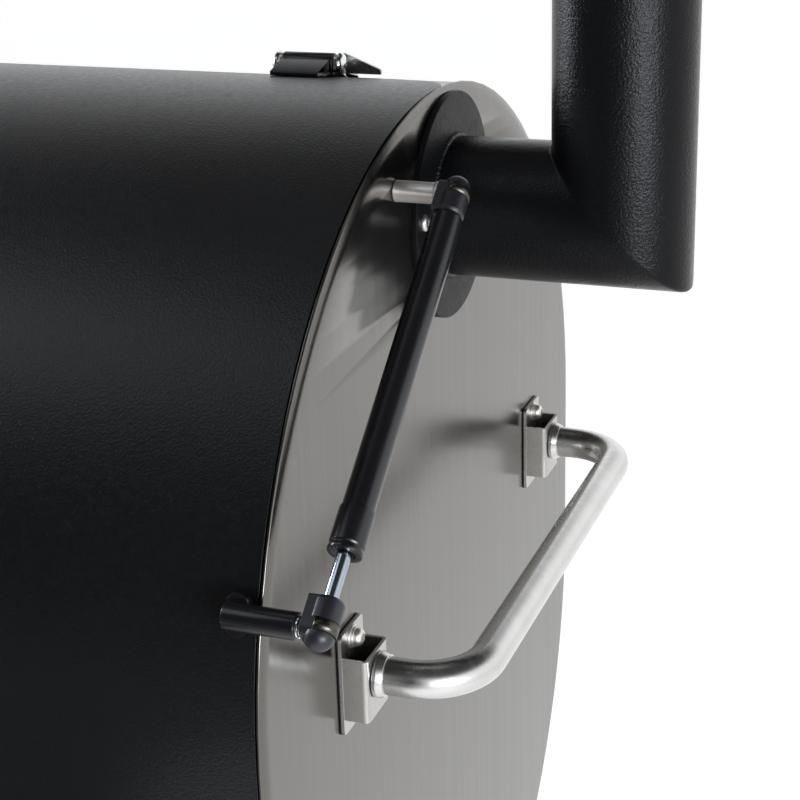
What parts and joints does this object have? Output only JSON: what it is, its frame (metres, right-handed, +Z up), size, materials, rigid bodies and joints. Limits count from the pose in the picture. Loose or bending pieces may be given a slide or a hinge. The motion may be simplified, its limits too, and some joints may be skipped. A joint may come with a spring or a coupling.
{
  "type": "offset smoker",
  "caption": "Barrel charcoal smoker with a lower firebox on the left, a lid held by a gas spring, stainless end caps, an elbow chimney, a lifting handle and a wheeled cart.",
  "frame": {"origin": "on the ground, at the middle of the bounding box in X and Y", "axes": "+Z up, +X towards the chimney end, -Y towards the front, where the lid handle and the shelf are"},
  "size_m": [1.5456, 0.8264, 1.589],
  "materials": {
    "powder_coat": "satin black powder coat with a fine texture",
    "brushed_stainless": "brushed, vertical grain",
    "polished_stainless": "satin polished",
    "chrome": "bright",
    "gloss_black_steel": "gloss black lacquer",
    "black_composite": "moulded, satin",
    "cast_iron": "seasoned, matt",
    "galvanised": "dull zinc",
    "wheel_rubber": "black rubber on a moulded hub"
  },
  "bodies": {
    "smoker_body": {"chamber_shell": "powder_coat", "chimney_flange": "powder_coat", "chimney_pipe": "powder_coat", "firebox_shell": "powder_coat", "firebox_cap_outer": "powder_coat", "leg_right_front": "powder_coat", "leg_right_rear": "powder_coat", "leg_left_front": "powder_coat", "leg_left_rear": "powder_coat", "bottom_shelf": "powder_coat", "end_cap_right": "brushed_stainless", "end_cap_left": "brushed_stainless", "firebox_cap_inner": "brushed_stainless", "front_shelf": "brushed_stainless", "side_handle": "polished_stainless", "side_handle_bracket_front": "polished_stainless", "side_handle_bracket_rear": "polished_stainless", "side_handle_collar_front": "polished_stainless", "side_handle_collar_rear": "polished_stainless", "side_handle_bolt_front": "polished_stainless", "side_handle_bolt_rear": "polished_stainless", "spring_stud_upper": "polished_stainless", "hinge_bracket_right": "polished_stainless", "hinge_bracket_left": "polished_stainless", "firebox_hinge_rod": "polished_stainless", "axle": "polished_stainless", "hinge_pin_right": "chrome", "hinge_pin_left": "chrome", "foot_front": "black_composite", "foot_rear": "black_composite", "cooking_grate_left": "cast_iron", "cooking_grate_right": "cast_iron", "charcoal_grate": "cast_iron", "grate_rail_front": "galvanised", "grate_rail_rear": "galvanised", "grease_tray_holder": "galvanised"},
    "lid": {"lid": "powder_coat", "thermometer_case": "chrome", "lid_handle": "polished_stainless", "lid_handle_bracket_left": "polished_stainless", "lid_handle_bracket_right": "polished_stainless", "hinge_knuckle_right": "gloss_black_steel", "hinge_knuckle_left": "gloss_black_steel", "spring_carrier": "gloss_black_steel", "spring_stud_lower": "chrome"},
    "thermometer_needle": {"thermometer_pointer": "gloss_black_steel"},
    "spring_tube": {"gas_spring_tube": "gloss_black_steel", "gas_spring_socket_upper": "black_composite"},
    "spring_rod": {"gas_spring_rod": "chrome", "gas_spring_socket_lower": "black_composite"},
    "chimney_damper": {"chimney_cap": "powder_coat"},
    "firebox_lid": {"firebox_lid": "powder_coat", "firebox_lid_handle": "polished_stainless"},
    "firebox_door": {"firebox_door": "powder_coat", "firebox_door_handle": "polished_stainless"},
    "air_damper": {"air_damper": "brushed_stainless"},
    "ash_tray": {"ash_tray": "galvanised"},
    "grease_tray": {"grease_tray": "galvanised"},
    "wheel_front": {"wheel_front": "wheel_rubber"},
    "wheel_rear": {"wheel_rear": "wheel_rubber"}
  },
  "joints": [
    {"name": "lid_hinge", "type": "hinge", "parent": "smoker_body", "child": "lid", "pos_m": [0.16225, 0.16917, 1.267], "axis": [-1, 0, 0], "range_deg": [0, 75]},
    {"name": "spring_swing", "type": "hinge", "parent": "smoker_body", "child": "spring_tube", "pos_m": [0.64875, 0.02467, 1.2221], "axis": [-1, 0, 0], "range_deg": [0, 102.77]},
    {"name": "spring_stroke", "type": "slide", "parent": "spring_tube", "child": "spring_rod", "axis": [0, -0.7941, -0.6077], "range_m": [0, 0.09845]},
    {"name": "thermometer_needle_turn", "type": "hinge", "parent": "lid", "child": "thermometer_needle", "pos_m": [0.16225, -0.15727, 1.11268], "axis": [0, 0.866, -0.5], "range_deg": [0, 270], "stiffness_Nm_per_rad": 0.004},
    {"name": "chimney_damper_swing", "type": "hinge", "parent": "smoker_body", "child": "chimney_damper", "pos_m": [0.72575, 0.17717, 1.581], "axis": [0, 0, 1], "range_deg": [0, 100]},
    {"name": "firebox_lid_hinge", "type": "hinge", "parent": "smoker_body", "child": "firebox_lid", "pos_m": [-0.50305, 0.14718, 0.9881], "axis": [-1, 0, 0], "range_deg": [0, 80]},
    {"name": "firebox_door_hinge", "type": "hinge", "parent": "smoker_body", "child": "firebox_door", "pos_m": [-0.72605, 0.26317, 0.73], "axis": [0, 0, -1], "range_deg": [0, 110]},
    {"name": "air_damper_turn", "type": "hinge", "parent": "firebox_door", "child": "air_damper", "pos_m": [-0.72275, 0.10718, 0.73], "axis": [-1, 0, 0], "range_deg": [0, 60]},
    {"name": "ash_tray_slide", "type": "slide", "parent": "smoker_body", "child": "ash_tray", "axis": [-1, 0, 0], "range_m": [0, 0.3]},
    {"name": "grease_tray_slide", "type": "slide", "parent": "smoker_body", "child": "grease_tray", "axis": [0, -1, 0], "range_m": [0, 0.15]},
    {"name": "wheel_front_roll", "type": "hinge", "parent": "smoker_body", "child": "wheel_front", "pos_m": [-0.17775, -0.15782, 0.1016], "axis": [0, 1, 0], "continuous": true},
    {"name": "wheel_rear_roll", "type": "hinge", "parent": "smoker_body", "child": "wheel_rear", "pos_m": [-0.17775, 0.37217, 0.1016], "axis": [0, 1, 0], "continuous": true}
  ],
  "couplings": [
    {"joint": "spring_swing", "follows": "lid_hinge", "ratio": 1.3701},
    {"joint": "spring_stroke", "follows": "lid_hinge", "m_per_rad": 0.075135}
  ]
}
